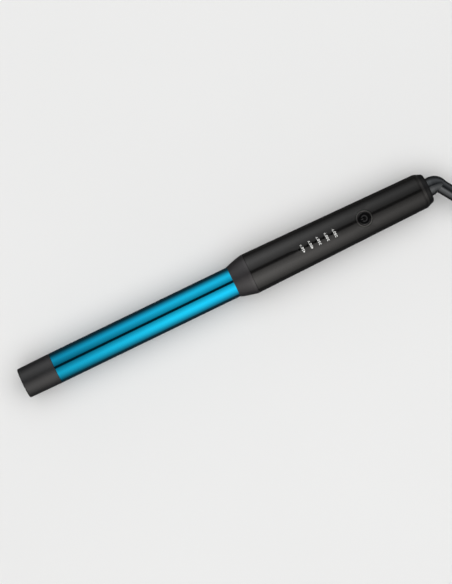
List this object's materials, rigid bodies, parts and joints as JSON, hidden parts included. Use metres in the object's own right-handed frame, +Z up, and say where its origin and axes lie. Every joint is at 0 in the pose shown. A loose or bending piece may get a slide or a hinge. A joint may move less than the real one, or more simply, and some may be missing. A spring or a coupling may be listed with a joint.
{
  "type": "curling wand",
  "caption": "Clipless curling wand: a straight round heated barrel with a cool tip, a tapered handle with button and lamps, and a swivel cord, lying flat.",
  "frame": {"origin": "under the middle of the wand, on the surface that it lies on, without its cord", "axes": "+X from the cool tip to the cord end, +Z up with the button on top, +Y to the left"},
  "size_m": [0.5641, 0.0602, 0.039],
  "materials": {
    "blue_barrel": "mirror-polished blue titanium coating",
    "charcoal_plastic": "fine matt charcoal",
    "tip_plastic": "satin charcoal",
    "gunmetal_handle": "satin metallic gunmetal lacquer",
    "dark_trim": "satin black",
    "gloss_black": "piano black",
    "black_rubber": "satin black",
    "cord_rubber": "matt black jacket",
    "lamp_lens": "clear red",
    "natural_nylon": "natural",
    "heat_resin": "glass-filled resin",
    "white_ceramic": "fired",
    "cast_aluminium": "extruded",
    "spring_steel": "bright",
    "zinc_steel": "zinc plated",
    "black_steel": "black oxide",
    "brass_contact": "bright",
    "nickel_brass": "nickel plated",
    "green_board": "solder mask",
    "glass_fuse": "clear",
    "black_epoxy": "moulded epoxy",
    "yellow_film": "taped",
    "can_sleeve": "shrink sleeve",
    "fibreglass_sleeve": "braided sleeve",
    "wire_jacket": "silicone"
  },
  "bodies": {
    "cord_set": {"swivel_shaft": "natural_nylon", "slip_rings": "brass_contact", "swivel_clip": "spring_steel", "strain_relief_boot": "black_rubber", "power_cord_tube": "cord_rubber", "power_cord_hank": "cord_rubber", "cord_tie": "black_rubber", "plug_body": "cord_rubber", "plug_blades": "nickel_brass"},
    "wand": {"barrel_clamp_ring": "zinc_steel", "barrel_end_bush": "heat_resin", "barrel_tube": "blue_barrel", "board_fuse": "glass_fuse", "board_screws": "zinc_steel", "button_bezel": "dark_trim", "ceramic_heater_plate": "white_ceramic", "clamp_screws": "zinc_steel", "collar": "charcoal_plastic", "contact_holder": "natural_nylon", "contact_springs": "brass_contact", "control_board": "green_board", "dropper_resistor": "white_ceramic", "electrolytic_capacitor": "can_sleeve", "film_capacitor": "yellow_film", "fuse_leads": "fibreglass_sleeve", "handle_lower_shell": "gunmetal_handle", "handle_screws": "black_steel", "handle_upper_shell": "gunmetal_handle", "heater_core_lower": "cast_aluminium", "heater_core_upper": "cast_aluminium", "heater_leads": "fibreglass_sleeve", "heater_spring": "spring_steel", "input_wires": "wire_jacket", "light_guide": "lamp_lens", "microcontroller": "black_epoxy", "rear_cap": "dark_trim", "rear_trim_ring": "dark_trim", "sensor_leads": "fibreglass_sleeve", "status_lamps": "lamp_lens", "swivel_bush": "natural_nylon", "tact_switch": "black_epoxy", "thermal_fuse": "nickel_brass", "thermistor": "glass_fuse", "tip_bracket": "spring_steel", "tip_cap": "tip_plastic", "tip_heat_shield": "white_ceramic", "tip_screw": "zinc_steel", "triac": "black_epoxy"},
    "power_button": {"power_button": "gloss_black", "switch_plunger": "black_epoxy"}
  },
  "joints": [
    {"name": "cord_swivel", "type": "hinge", "parent": "cord_set", "child": "wand", "pos_m": [0.172, 0, 0.01665], "axis": [1, 0, 0], "continuous": true},
    {"name": "button_press", "type": "slide", "parent": "wand", "child": "power_button", "axis": [0, 0, -1], "range_m": [0, 0.0005], "stiffness_N_per_m": 2000, "springref_m": -0.0005}
  ]
}
